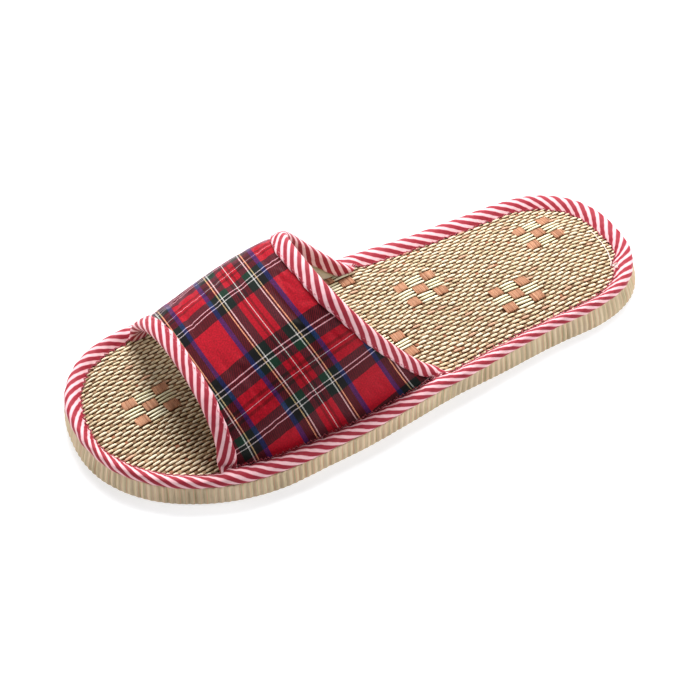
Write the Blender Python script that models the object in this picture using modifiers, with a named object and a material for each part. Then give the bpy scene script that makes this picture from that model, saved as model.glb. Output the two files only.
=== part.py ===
# House slipper for the left foot: a flat foam outsole, a thin woven insole bound with tape,
# and one padded cloth band over the foot, open at toe and heel, bound along both edges.
# Metres, +Z up, toe towards -Y, the wearer's left at +X.
# The origin lies on the floor under the middle of the sole.
import math
from collections import namedtuple

import bmesh
import bpy
from mathutils import Vector

# Sole
LENGTH = 0.272              # toe to heel at the floor
OUTSOLE_THICKNESS = 0.0093
OUTSOLE_EDGE_ROUND = 0.0008
INSOLE_THICKNESS = 0.0016
FIT_GAP = 0.0003            # air between touching pieces

# Bound edges
TAPE_THICKNESS = 0.0008
SOLE_TAPE_WIDTH = 0.0066    # seen from above, from its fold to its inner edge
SOLE_TAPE_INSET = 0.0010    # from the floor outline in to the tape's fold
SOLE_TAPE_CROWN = 0.0003    # how much the folded tape swells in its middle
BAND_TAPE_WIDTH = 0.0085

# Band over the foot
BAND_WALL = 0.0020          # cloth, padding and lining

# Fineness of the faceted solids
OUTLINE_POINTS = 108
BAND_COLUMNS = 44           # across the foot
BAND_ROWS = 14              # from front to back
FOLD_STEPS = 6              # round the fold of a bound edge
BEVEL_STEPS = 2
SMOOTH_SAMPLES = 240        # points on a curve before it is spaced evenly
SLOPE_STEP = 0.001          # how far apart two points are taken to read the band's slope
SHARP_ANGLE = math.radians(40)
CAP_MERGE = 0.00002

# Heights that follow from the sizes above
INSOLE_BOTTOM = OUTSOLE_THICKNESS + FIT_GAP
INSOLE_TOP = INSOLE_BOTTOM + INSOLE_THICKNESS
TAPE_BOTTOM = INSOLE_BOTTOM
TAPE_LEAF_UNDERSIDE = INSOLE_TOP + FIT_GAP
TAPE_TOP = TAPE_LEAF_UNDERSIDE + TAPE_THICKNESS
BAND_BASE = INSOLE_TOP + FIT_GAP

# Insets from the floor outline
SOLE_TAPE_INNER = SOLE_TAPE_INSET + SOLE_TAPE_WIDTH
INSOLE_INSET = SOLE_TAPE_INSET + TAPE_THICKNESS + FIT_GAP
BAND_INSET = SOLE_TAPE_INNER + FIT_GAP + TAPE_THICKNESS + FIT_GAP

# Half widths of the sole on either side of the foot's line, at distances from the toe.
SoleStation = namedtuple("SoleStation", "name from_toe medial lateral")
SOLE_STATIONS = (
    SoleStation("toe", 0.000, 0.0486, 0.0568),
    SoleStation("ball, inner side", 0.060, 0.0484, 0.0567),
    SoleStation("ball, outer side", 0.090, 0.0458, 0.0565),
    SoleStation("instep", 0.120, 0.0439, 0.0539),
    SoleStation("waist", 0.150, 0.0430, 0.0488),
    SoleStation("behind the waist", 0.180, 0.0417, 0.0444),
    SoleStation("front of the heel", 0.210, 0.0421, 0.0410),
    SoleStation("heel", 0.272, 0.0424, 0.0396),
)

# The round ends: how far each reaches along the foot, and how square its corner is
# (2 is an ellipse, more is squarer).
EndCurve = namedtuple("EndCurve", "reach squareness")
TOE_END = {"medial": EndCurve(0.050, 2.4), "lateral": EndCurve(0.075, 2.0)}
HEEL_END = {"medial": EndCurve(0.046, 2.4), "lateral": EndCurve(0.048, 2.4)}

# The band's two edges. Each is an arch from the medial to the lateral side of the insole.
# medial, lateral and crown are the arch's places along the foot, rise is its height over the
# insole, lean moves its crown sideways, sweep shapes the way the edge runs up to the crown,
# and the squareness values shape its two shoulders, the medial one the rounder.
ArchEdge = namedtuple(
    "ArchEdge", "name medial lateral crown rise lean sweep "
    "medial_side_squareness medial_top_squareness lateral_side_squareness lateral_top_squareness")
FRONT_EDGE = ArchEdge(
    "front", -0.0950, -0.0900, -0.0905, 0.0245, -0.0040, 0.90, 1.85, 1.85, 2.55, 2.50)
BACK_EDGE = ArchEdge(
    "back", 0.0150, 0.0185, -0.0293, 0.0545, -0.0055, 0.80, 2.20, 2.60, 2.70, 3.50)


def clear_scene():
    for obj in list(bpy.data.objects):
        bpy.data.objects.remove(obj, do_unlink=True)


def make_collection(name):
    collection = bpy.data.collections.new(name)
    bpy.context.scene.collection.children.link(collection)
    return collection


def make_material(name, colour, roughness):
    material = bpy.data.materials.new(name)
    material.use_nodes = True
    shader = material.node_tree.nodes["Principled BSDF"]
    shader.inputs["Base Color"].default_value = (*colour, 1.0)
    shader.inputs["Roughness"].default_value = roughness
    shader.inputs["Metallic"].default_value = 0.0
    return material


# ---- outline of the sole

def smooth_table(rows, key, column, at):
    """Reads a column of a table at any place, on a smooth curve through its rows."""
    places = [getattr(row, key) for row in rows]
    values = [getattr(row, column) for row in rows]
    last = len(rows) - 1
    slopes = []
    for i in range(last + 1):
        before, after = max(i - 1, 0), min(i + 1, last)
        slopes.append((values[after] - values[before]) / (places[after] - places[before]))
    i = max(k for k in range(last) if places[k] <= at or k == 0)
    span = places[i + 1] - places[i]
    t = min(max((at - places[i]) / span, 0.0), 1.0)
    return ((2 * t ** 3 - 3 * t ** 2 + 1) * values[i]
            + (t ** 3 - 2 * t ** 2 + t) * span * slopes[i]
            + (3 * t ** 2 - 2 * t ** 3) * values[i + 1]
            + (t ** 3 - t ** 2) * span * slopes[i + 1])


def end_share(distance, end):
    """Share of the full width at a distance from a round end's tip."""
    if distance >= end.reach:
        return 1.0
    rest = 1.0 - max(distance, 0.0) / end.reach
    return (1.0 - rest ** end.squareness) ** (1.0 / end.squareness)


def half_width(from_toe, side):
    width = smooth_table(SOLE_STATIONS, "from_toe", side, from_toe)
    toe_share = end_share(from_toe, TOE_END[side])
    heel_share = end_share(LENGTH - from_toe, HEEL_END[side])
    return width * toe_share * heel_share


def even_points(points, count, closed):
    """The same run of points, spaced evenly along its length."""
    run = points + points[:1] if closed else points
    reached = [0.0]
    for a, b in zip(run, run[1:]):
        reached.append(reached[-1] + (b - a).length)
    steps = count if closed else count - 1
    result = []
    k = 0
    for i in range(count):
        target = reached[-1] * i / steps
        while k < len(run) - 2 and reached[k + 1] < target:
            k += 1
        span = reached[k + 1] - reached[k]
        result.append(run[k].lerp(run[k + 1], (target - reached[k]) / span if span else 0.0))
    return result


def dense_outline():
    """The floor outline, from the toe's tip along the lateral side, centred on its own box."""
    points = []
    for side, sign, order in (("lateral", 1, 1), ("medial", -1, -1)):
        for i in range(SMOOTH_SAMPLES)[::order]:
            turn = math.pi * (i + (0 if order > 0 else 1)) / SMOOTH_SAMPLES
            from_toe = LENGTH * (1.0 - math.cos(turn)) / 2.0
            points.append(Vector((sign * half_width(from_toe, side), from_toe - LENGTH / 2, 0.0)))
    middle = (min(p.x for p in points) + max(p.x for p in points)) / 2.0
    return [Vector((p.x - middle, p.y, 0.0)) for p in points]


def inset_outline(inset, count=OUTLINE_POINTS):
    """The outline moved inwards, as evenly spaced points running anticlockwise."""
    points = even_points(DENSE_OUTLINE, count, closed=True)
    result = []
    for i, point in enumerate(points):
        along = (points[(i + 1) % count] - points[i - 1]).normalized()
        outward = Vector((along.y, -along.x, 0.0))
        result.append(point - outward * inset)
    return result


def side_x(inset_points, y, sign):
    """Where an inset outline lies across the foot, at a place along it."""
    side = sorted((p for p in inset_points if p.x * sign > 0), key=lambda p: p.y)
    for a, b in zip(side, side[1:]):
        if a.y <= y <= b.y:
            return a.lerp(b, (y - a.y) / (b.y - a.y)).x
    raise ValueError("no outline at this place along the foot")


# ---- shape of the band

def arch_between(share):
    """The arch at a share of the way from the front edge to the back edge."""
    values = [a + (b - a) * share for a, b in zip(FRONT_EDGE[1:], BACK_EDGE[1:])]
    return ArchEdge("between", *values)


def arch_points(share, count):
    """Evenly spaced points over one arch, medial side first."""
    arch = arch_between(share)
    medial_x = side_x(BAND_FOOTPRINT, arch.medial, -1)
    lateral_x = side_x(BAND_FOOTPRINT, arch.lateral, 1)
    points = []
    for i in range(SMOOTH_SAMPLES + 1):
        angle = math.pi * (i / SMOOTH_SAMPLES - 0.5)
        if angle < 0:
            side_squareness, top_squareness = arch.medial_side_squareness, arch.medial_top_squareness
        else:
            side_squareness, top_squareness = arch.lateral_side_squareness, arch.lateral_top_squareness
        across = math.copysign(abs(math.sin(angle)) ** (2 / side_squareness), angle)
        up = max(math.cos(angle), 0.0) ** (2 / top_squareness)
        base_y = (arch.medial + arch.lateral) / 2 + (arch.lateral - arch.medial) / 2 * across
        crown_shift = arch.crown - (arch.medial + arch.lateral) / 2
        points.append(Vector((
            (medial_x + lateral_x) / 2 + (lateral_x - medial_x) / 2 * across + arch.lean * up,
            base_y + crown_shift * up ** arch.sweep,
            BAND_BASE + arch.rise * up)))
    return even_points(points, count, closed=False)


def band_column(column):
    """Points down one line of the band, from the front edge to the back edge."""
    return [arch[column] for arch in BAND_ARCHES]


def point_on(line, distance):
    """The point at a distance along a line; past its ends the line runs straight on."""
    for a, b in zip(line, line[1:]):
        span = (b - a).length
        if distance <= span or b is line[-1]:
            return a + (b - a) * (distance / span)
        distance -= span


def line_length(line):
    return sum((b - a).length for a, b in zip(line, line[1:]))


def outward_normal(column, distance):
    """The band's outward direction on one column, at a distance from the front edge."""
    line = band_column(column)
    share = distance / line_length(line)
    neighbours = []
    for c in (max(column - 1, 0), min(column + 1, BAND_COLUMNS)):
        neighbour = band_column(c)
        neighbours.append(point_on(neighbour, share * line_length(neighbour)))
    across = neighbours[1] - neighbours[0]
    if column in (0, BAND_COLUMNS):
        across = Vector((0.0, 0.0, across.z))       # the band stands upright on the insole
    along = point_on(line, distance + SLOPE_STEP) - point_on(line, distance - SLOPE_STEP)
    return across.cross(along).normalized()


# ---- pieces

def finish(obj, collection, material):
    obj.data.materials.append(material)
    collection.objects.link(obj)
    return obj


def outline_curve(name, points, thickness, bottom):
    """A flat slab with an outline, as a filled 2D curve."""
    curve = bpy.data.curves.new(name, "CURVE")
    curve.dimensions = "2D"
    curve.fill_mode = "BOTH"
    curve.extrude = thickness / 2
    spline = curve.splines.new("POLY")
    spline.points.add(len(points) - 1)
    for spline_point, point in zip(spline.points, points):
        spline_point.co = (point.x, point.y, 0.0, 1.0)
    spline.use_cyclic_u = True
    slab = bpy.data.objects.new(name, curve)
    slab.location.z = bottom + thickness / 2
    return slab


def round_edges(obj, width):
    weld = obj.modifiers.new("Weld caps", "WELD")
    weld.merge_threshold = CAP_MERGE
    bevel = obj.modifiers.new("Round edges", "BEVEL")
    bevel.width = width
    bevel.segments = BEVEL_STEPS
    bevel.limit_method = "ANGLE"
    bevel.angle_limit = SHARP_ANGLE


def make_outsole(collection):
    slab = outline_curve("outsole", inset_outline(0.0), OUTSOLE_THICKNESS, 0.0)
    round_edges(slab, OUTSOLE_EDGE_ROUND)
    return finish(slab, collection, make_material("tan_foam", (0.60, 0.46, 0.25), 0.75))


def make_insole(collection):
    slab = outline_curve("insole", inset_outline(INSOLE_INSET), INSOLE_THICKNESS, INSOLE_BOTTOM)
    return finish(slab, collection, make_material("woven_rush", (0.72, 0.60, 0.38), 0.70))


def sole_tape_section():
    """The tape over the insole's rim in section: (inset, height) points, fold first."""
    outer, inner = SOLE_TAPE_INSET, SOLE_TAPE_INNER
    round_steps = FOLD_STEPS // 2
    section = [(outer, TAPE_BOTTOM)]
    for i in range(round_steps + 1):
        turn = math.pi / 2 * i / round_steps
        section.append((outer + TAPE_THICKNESS * (1 - math.cos(turn)),
                        TAPE_TOP - TAPE_THICKNESS * (1 - math.sin(turn))))
    section += [
        ((outer + inner) / 2, TAPE_TOP + SOLE_TAPE_CROWN),
        (inner - TAPE_THICKNESS / 2, TAPE_TOP),
        (inner, TAPE_TOP - TAPE_THICKNESS / 2),
        (inner, TAPE_LEAF_UNDERSIDE),
        (outer + TAPE_THICKNESS, TAPE_LEAF_UNDERSIDE),
        (outer + TAPE_THICKNESS, TAPE_BOTTOM),
    ]
    return section


def loft(name, sections, closed):
    """A solid through sections with the same number of points; open runs get end caps."""
    mesh = bmesh.new()
    rings = [[mesh.verts.new(point) for point in section] for section in sections]
    pairs = list(zip(rings, rings[1:]))
    if closed:
        pairs.append((rings[-1], rings[0]))
    size = len(rings[0])
    for a, b in pairs:
        for k in range(size):
            mesh.faces.new((a[k], a[(k + 1) % size], b[(k + 1) % size], b[k]))
    if not closed:
        mesh.faces.new(rings[0][::-1])
        mesh.faces.new(rings[-1])
    bmesh.ops.recalc_face_normals(mesh, faces=mesh.faces)
    data = bpy.data.meshes.new(name)
    mesh.to_mesh(data)
    mesh.free()
    return bpy.data.objects.new(name, data)


def make_sole_binding(collection):
    rings = []
    for inset, height in sole_tape_section():
        rings.append([p + Vector((0, 0, height)) for p in inset_outline(inset)])
    sections = list(zip(*rings))
    ring = loft("sole_binding", sections, closed=True)
    ring.data.shade_smooth()
    ring.data.set_sharp_from_angle(angle=SHARP_ANGLE)
    return finish(ring, collection, make_material("striped_tape_sole", (0.75, 0.30, 0.33), 0.80))


def band_tape_section():
    """The tape folded over a cut edge: (distance from the fold, height over the cloth) points."""
    middle = -BAND_WALL / 2
    outer_radius = BAND_WALL / 2 + FIT_GAP + TAPE_THICKNESS
    inner_radius = outer_radius - TAPE_THICKNESS
    halfway = (BAND_TAPE_WIDTH + outer_radius) / 2
    section = []
    for radius, order in ((outer_radius, 1), (inner_radius, -1)):
        face = [(BAND_TAPE_WIDTH, middle + radius), (halfway, middle + radius)]
        for i in range(FOLD_STEPS + 1):
            turn = math.pi * (0.5 - i / FOLD_STEPS)
            face.append((outer_radius - radius * math.cos(turn), middle + radius * math.sin(turn)))
        face += [(halfway, middle - radius), (BAND_TAPE_WIDTH, middle - radius)]
        section += face[::order]
    return section


def band_point(column, distance, height):
    """A point at a distance from the front edge and a height over the band's outer face."""
    on_face = point_on(band_column(column), distance)
    return on_face + outward_normal(column, distance) * height


def make_band_piece(collection, name, section_at, material):
    """A piece that runs over the foot: one section for each column of the band."""
    sections = []
    for column in range(BAND_COLUMNS + 1):
        total = line_length(band_column(column))
        sections.append([band_point(column, d, h) for d, h in section_at(total)])
    piece = loft(name, sections, closed=False)
    piece.data.shade_smooth()
    piece.data.set_sharp_from_angle(angle=SHARP_ANGLE)
    return finish(piece, collection, material)


def wall_section(total):
    """The band's wall; its cut edges lie inside the folds of the tapes."""
    margin = BAND_WALL / 2 + TAPE_THICKNESS
    places = [margin + (total - 2 * margin) * row / BAND_ROWS for row in range(BAND_ROWS + 1)]
    return [(place, 0.0) for place in places] + [(place, -BAND_WALL) for place in places[::-1]]


def front_tape_section(total):
    return band_tape_section()


def back_tape_section(total):
    return [(total - distance, height) for distance, height in band_tape_section()]


clear_scene()
slipper = make_collection("house_slipper")
DENSE_OUTLINE = dense_outline()
BAND_FOOTPRINT = inset_outline(BAND_INSET, count=4 * OUTLINE_POINTS)
ARCH_COUNT = 2 * BAND_ROWS
BAND_ARCHES = [arch_points(i / ARCH_COUNT, BAND_COLUMNS + 1) for i in range(ARCH_COUNT + 1)]

make_outsole(slipper)
make_insole(slipper)
make_sole_binding(slipper)
tartan = make_material("tartan_cloth", (0.55, 0.02, 0.05), 0.85)
front_tape = make_material("striped_tape_front", (0.75, 0.30, 0.33), 0.80)
back_tape = make_material("striped_tape_back", (0.75, 0.30, 0.33), 0.80)
make_band_piece(slipper, "upper", wall_section, tartan)
make_band_piece(slipper, "front_binding", front_tape_section, front_tape)
make_band_piece(slipper, "back_binding", back_tape_section, back_tape)
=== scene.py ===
# House slipper for the left foot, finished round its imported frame.
# Metres, +Z up, toe towards -Y, the wearer's left (the outer side of the foot) towards +X.
import math
import bpy
import numpy as np
from mathutils import Matrix, Vector


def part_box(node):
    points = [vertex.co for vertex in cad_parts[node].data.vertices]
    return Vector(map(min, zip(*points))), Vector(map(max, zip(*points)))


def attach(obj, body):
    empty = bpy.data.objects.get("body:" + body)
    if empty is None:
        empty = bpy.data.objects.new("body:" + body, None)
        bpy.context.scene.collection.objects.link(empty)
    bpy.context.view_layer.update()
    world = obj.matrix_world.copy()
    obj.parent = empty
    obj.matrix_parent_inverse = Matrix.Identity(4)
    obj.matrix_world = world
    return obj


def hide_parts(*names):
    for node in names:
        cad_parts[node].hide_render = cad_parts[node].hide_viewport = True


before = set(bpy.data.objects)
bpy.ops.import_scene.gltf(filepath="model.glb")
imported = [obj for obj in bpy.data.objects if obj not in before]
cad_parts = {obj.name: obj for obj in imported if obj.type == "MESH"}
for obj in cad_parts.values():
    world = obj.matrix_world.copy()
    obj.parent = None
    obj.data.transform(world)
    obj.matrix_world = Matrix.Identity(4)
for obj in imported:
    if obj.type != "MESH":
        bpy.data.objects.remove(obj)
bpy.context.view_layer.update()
scene = bpy.context.scene
mm = 0.001
print("frame loaded")


# small tools

def only(piece):
    bpy.ops.object.select_all(action="DESELECT")
    piece.select_set(True)
    bpy.context.view_layer.objects.active = piece


def namePiece(name):
    piece = bpy.context.object
    piece.name = name
    piece.data.name = name
    return piece


def layGrid(name, points, *mapping):
    # a grid primitive laid over rows of points, with distances along and across the cloth, in
    # metres, as its UV map
    rows, columns = points.shape[:2]
    bpy.ops.object.select_all(action="DESELECT")
    bpy.ops.mesh.primitive_grid_add(x_subdivisions=columns - 1, y_subdivisions=rows - 1, size=1)
    piece = namePiece(name)
    piece.data.vertices.foreach_set("co", points.astype(np.float32).ravel())
    if mapping:
        owner = np.zeros(len(piece.data.loops), np.int32)
        piece.data.loops.foreach_get("vertex_index", owner)
        uv = np.stack(np.broadcast_arrays(*mapping), axis=-1).reshape(-1, 2)[owner]
        piece.data.uv_layers.active.data.foreach_set("uv", uv.astype(np.float32).ravel())
    piece.data.update()
    return piece


def editAll(piece, *steps):
    # edit-mode steps on the whole mesh
    only(piece)
    bpy.ops.object.mode_set(mode="EDIT")
    for step in steps:
        bpy.ops.mesh.select_all(action="SELECT")
        step()
    bpy.ops.object.mode_set(mode="OBJECT")


def weld():
    bpy.ops.mesh.remove_doubles(threshold=0.005 * mm)


def capHoles():
    bpy.ops.mesh.fill_holes(sides=0)


def pointOut():
    bpy.ops.mesh.normals_make_consistent(inside=False)


def bridgeRims():
    bpy.ops.mesh.select_all(action="DESELECT")
    bpy.ops.mesh.select_non_manifold(extend=False)
    bpy.ops.mesh.bridge_edge_loops()


def shapeWith(piece, kind, **settings):
    only(piece)
    modifier = piece.modifiers.new(kind.title(), kind)
    for key, value in settings.items():
        setattr(modifier, key, value)
    bpy.ops.object.modifier_apply(modifier=modifier.name)


def smooth(piece, angle):
    only(piece)
    bpy.ops.object.shade_smooth_by_angle(angle=math.radians(angle))


def closedGrid(name, points, angle, *mapping):
    # a grid whose rows run round and close, with its ends filled where they are open
    points[:, -1] = points[:, 0]
    piece = layGrid(name, points, *mapping)
    editAll(piece, weld, capHoles, pointOut)
    smooth(piece, angle)
    return piece


def finishPiece(piece, material, nodes=()):
    piece.data.materials.append(material)
    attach(piece, "root")
    if nodes:
        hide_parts(*nodes)


def declareTape(piece):
    # reads the areas of the tape's faces and does nothing with them; the tape is one strip of cloth
    # whose two faces are the piece's surface
    area = np.zeros(len(piece.data.polygons), np.float32)
    piece.data.polygons.foreach_get("area", area)


def readCorners(piece):
    co = np.zeros(len(piece.data.vertices) * 3, np.float32)
    piece.data.vertices.foreach_get("co", co)
    return co.reshape(-1, 3).astype(float)


def setCorners(piece, co):
    piece.data.vertices.foreach_set("co", co.astype(np.float32).ravel())
    piece.data.update()


def wave(at, *parts):
    # a sum of sines: (length of one wave, height, where it starts) for each part
    return sum(high * np.sin(2 * np.pi * (at / length + start)) for length, high, start in parts)


def ease(at, low, high):
    share = np.clip((at - low) / (high - low), 0.0, 1.0)
    return share * share * (3 - 2 * share)


def distances(run):
    # how far along a line each of its points is
    return np.r_[0, np.cumsum(np.linalg.norm(np.diff(run, axis=0), axis=1))]


def readAlong(at, reached, table):
    # a table's columns, read at distances along the line that it follows
    return np.stack([np.interp(at, reached, column) for column in table.T], axis=-1)


def throughCorners(corners, steps):
    # a smooth closed curve through a ring of corners, with some steps from each to the next
    before, after, later = np.roll(corners, 1, 0), np.roll(corners, -1, 0), np.roll(corners, -2, 0)
    share = np.linspace(0, 1, steps, endpoint=False)[:, None, None]
    curve = 0.5 * (2 * corners + (after - before) * share
                   + (2 * before - 5 * corners + 4 * after - later) * share ** 2
                   + (3 * corners - before - 3 * after + later) * share ** 3)
    return curve.transpose(1, 0, 2).reshape(-1, corners.shape[1])


def named(columns, *rows):
    # a table's rows as dictionaries, by the names of its columns
    return [dict(zip(columns.split(), row)) for row in rows]


# outline of the sole, read from the frame

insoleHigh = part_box("insole")[1]
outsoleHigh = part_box("outsole")[1]
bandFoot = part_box("upper")[0].z
matTop = insoleHigh.z


def spaceEvenly(curve, steps=2600):
    run = np.vstack([curve, curve[:1]])
    reached = distances(run)
    return readAlong(np.linspace(0, reached[-1], steps, endpoint=False), reached, run)


def waysOut(line, reach=3):
    # which way is out at each point of a closed line, from the points on both sides of it
    along = np.roll(line, -reach, 0) - np.roll(line, reach, 0)
    along /= np.linalg.norm(along, axis=1)[:, None]
    return np.stack([along[:, 1], -along[:, 0]], axis=1)


def readOutline(node):
    # the slab's corners in order round its middle, from the toe's tip along the lateral side,
    # with a smooth curve through them
    rim = np.unique(np.round(readCorners(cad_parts[node])[:, :2], 6), axis=0)
    turn = np.mod(np.arctan2(rim[:, 1], rim[:, 0]) + np.pi / 2, 2 * np.pi)
    return spaceEvenly(throughCorners(rim[np.argsort(turn)], 40))


insoleLine = readOutline("insole")
soleLine = spaceEvenly(insoleLine + waysOut(insoleLine) * (outsoleHigh.x - insoleHigh.x))
soleWays = waysOut(soleLine)
closedLine = np.vstack([soleLine, soleLine[:1]])
closedWays = np.vstack([soleWays, soleWays[:1]])
lineReached = distances(closedLine)
soleRound = lineReached[-1]


def roundSole(along, inset, height):
    # points at a distance along the floor outline, moved in by an inset, at a height
    along, inset, height = np.broadcast_arrays(along, inset, height)
    xy, out = [readAlong(np.mod(along, soleRound), lineReached, table)
               for table in (closedLine, closedWays)]
    return np.concatenate([xy - out * inset[..., None], height[..., None]], axis=-1)


def insetOf(points):
    # how far points lie inside the floor outline, and how far along it they are
    inset, along = np.zeros(len(points)), np.zeros(len(points))
    for first in range(0, len(points), 2000):
        some = slice(first, first + 2000)
        gaps = points[some, None, :2] - soleLine[None]
        nearest = np.argmin((gaps ** 2).sum(-1), axis=1)
        gap = gaps[np.arange(len(gaps)), nearest]
        inset[some] = -(gap * soleWays[nearest]).sum(-1)
        along[some] = lineReached[nearest]
    return inset, along


def aroundSole(rows, soft=5.0):
    # a value that changes softly round the sole, from rows of a distance and the value there
    at = np.arange(round(soleRound / mm)) + 0.5
    places, values = np.array(rows).T
    steps = np.interp(at, places, values, period=soleRound / mm)
    reach = np.arange(-20, 21)
    weights = np.exp(-(reach / soft) ** 2 / 2)
    evened = sum(weight * np.roll(steps, k) for k, weight in zip(reach, weights)) / weights.sum()
    return lambda along: np.interp(along / mm, at, evened, period=soleRound / mm)


# how far the foam's foot, the tape's rim and the tape's inner edge lie inside the frame's outline,
# from the toe's tip round by the lateral side, in millimetres
footIn = aroundSole(((0, 0.5), (20, 0.1), (90, 0.0), (112, 1.7), (150, 2.0), (185, 1.5), (206, 0.1),
                     (300, 0.0), (480, 0.0), (600, 0.3)))
rimIn = aroundSole(((0, 2.5), (14, 2.0), (30, 1.3), (50, 0.9), (75, 0.6), (95, 1.2), (118, 2.0),
                    (165, 2.0), (180, 1.1), (205, 1.3), (228, 1.8), (262, 2.7), (300, 2.3),
                    (314, 1.4), (332, 0.7), (470, 0.4), (560, 0.9), (580, 1.3), (636, 1.3),
                    (650, 1.9)), 4.0)
edgeIn = aroundSole(((0, 7.6), (20, 7.2), (60, 7.1), (80, 7.8), (150, 7.8), (185, 7.1), (230, 7.4),
                     (270, 8.4), (284, 9.6), (294, 12.3), (299, 11.6), (303, 9.2), (330, 9.8),
                     (350, 9.9), (368, 9.0), (380, 8.4), (450, 8.6), (600, 8.4), (640, 8.0)), 2.5)


# shape of the band, the same arches as the frame's, in millimetres

arches = dict(
    # where an edge's two feet and its crown lie along the sole, how high the crown rises, how far
    # it leans to the medial side, and how the edge sweeps up to it; how square each quarter of the
    # arch is, at its side and at its top; the arc from its middle down to the lateral foot
    front=dict(medial=-95.0, lateral=-90.0, crown=-90.5, rise=24.5, lean=-4.0, sweep=0.90,
               medialSide=1.85, medialTop=1.85, lateralSide=2.55, lateralTop=2.50, half=54.7),
    back=dict(medial=15.0, lateral=18.5, crown=-29.3, rise=54.5, lean=-5.5, sweep=0.80,
              medialSide=2.20, medialTop=2.60, lateralSide=2.70, lateralTop=3.50, half=93.55),
    shoulder=dict(medialSide=0.76, medialTop=0.95),     # how much squarer the padding makes it
    inset=9.0,          # of the band's outer face, from the floor outline
    wall=2.0,
    footRound=1.3,      # how the foot of the cloth turns out, under the sole's tape
    footHeight=0.8,     # of the pressed cloth under the tape
    footTurn=2.0,       # how much cloth the turn takes
    upright=(9.0, 3.0),         # heights between which the cloth turns upright
    lifted=(-3.5, 1.5),         # where the sole's tape rises over the cloth, from each edge
)
bandColumns, bandShares = 361, 121
# where the band's feet start and end along the sole
bandEnds = dict(medial=(arches["front"]["medial"], arches["back"]["medial"]),
                lateral=(arches["front"]["lateral"], arches["back"]["lateral"]))


def underBand(points):
    # 1 beside the band, where its cloth lies under the tape, and 0 elsewhere
    y = points[..., 1] / mm
    before, past = arches["lifted"]
    near = np.zeros(points.shape[:-1])
    for side, (front, back) in ((-1, bandEnds["medial"]), (1, bandEnds["lateral"])):
        lift = ease(y, front + before, front + past) * (1 - ease(y, back - past, back - before))
        near = np.where(points[..., 0] * side > 0, lift, near)
    return near


dish = dict(edge=((1.3, 9, 24), (0.4, 8, 10.5)),     # depth, and the insets where it fades out
            atBand=0.85)                # how much of it the band takes away


def matLevel(inset, along):
    # the mat is pulled down at its edge, most of all right under the tape, but not at the band
    drop = sum(depth * (1 - ease(inset, low * mm, high * mm)) for depth, low, high in dish["edge"])
    return matTop - drop * mm * (1 - dish["atBand"] * underBand(roundSole(along, 0.0, 0.0)))


def sideAt(y, side):
    # how far out the band's foot stands on one side
    inner = roundSole(lineReached[:-1], arches["inset"] * mm, 0.0)
    inner = inner[inner[:, 0] * side > 0]
    inner = inner[np.argsort(inner[:, 1])]
    return np.interp(y, inner[:, 1], inner[:, 0])


def archLine(share):
    # the band's outer face at a share of the way from its front edge to its back one, with the arc
    # over the foot, 0 near its middle
    front, back = arches["front"], arches["back"]
    a = {key: front[key] + (back[key] - front[key]) * share for key in front}
    for key, squarer in arches["shoulder"].items():
        a[key] += squarer * math.sin(math.pi * share ** 1.4)
    medialX, lateralX = sideAt(a["medial"] * mm, -1), sideAt(a["lateral"] * mm, 1)
    angle = np.pi * (np.linspace(0, 1, 1201) - 0.5)
    medial = angle < 0
    across = np.sign(angle) * np.abs(np.sin(angle)) ** (
        2 / np.where(medial, a["medialSide"], a["lateralSide"]))
    up = np.maximum(np.cos(angle), 0) ** (2 / np.where(medial, a["medialTop"], a["lateralTop"]))
    middle = (a["medial"] + a["lateral"]) / 2
    line = np.stack([
        (medialX + lateralX) / 2 + (lateralX - medialX) / 2 * across + a["lean"] * mm * up,
        (middle + (a["lateral"] - a["medial"]) / 2 * across
         + (a["crown"] - middle) * up ** a["sweep"]) * mm,
        bandFoot + a["rise"] * mm * up], axis=1)
    reached = distances(line)
    at = np.linspace(0, reached[-1], bandColumns)
    return readAlong(at, reached, line), at - at[-1] + a["half"] * mm


# the band's face, arcs and ways, by share from the front edge to the back one and by column
bandFace, bandArc = [np.array(table) for table in zip(
    *[archLine(share) for share in np.linspace(0, 1, bandShares)])]
bandDown = np.vstack([np.zeros(bandColumns), np.cumsum(
    np.linalg.norm(np.diff(bandFace, axis=0), axis=2), axis=0)])
bandAlong = np.gradient(bandFace, axis=0)
bandWay = np.cross(np.gradient(bandFace, axis=1), bandAlong)
bandWay /= np.linalg.norm(bandWay, axis=2)[..., None]
bandAlong /= np.linalg.norm(bandAlong, axis=2)[..., None]


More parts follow.
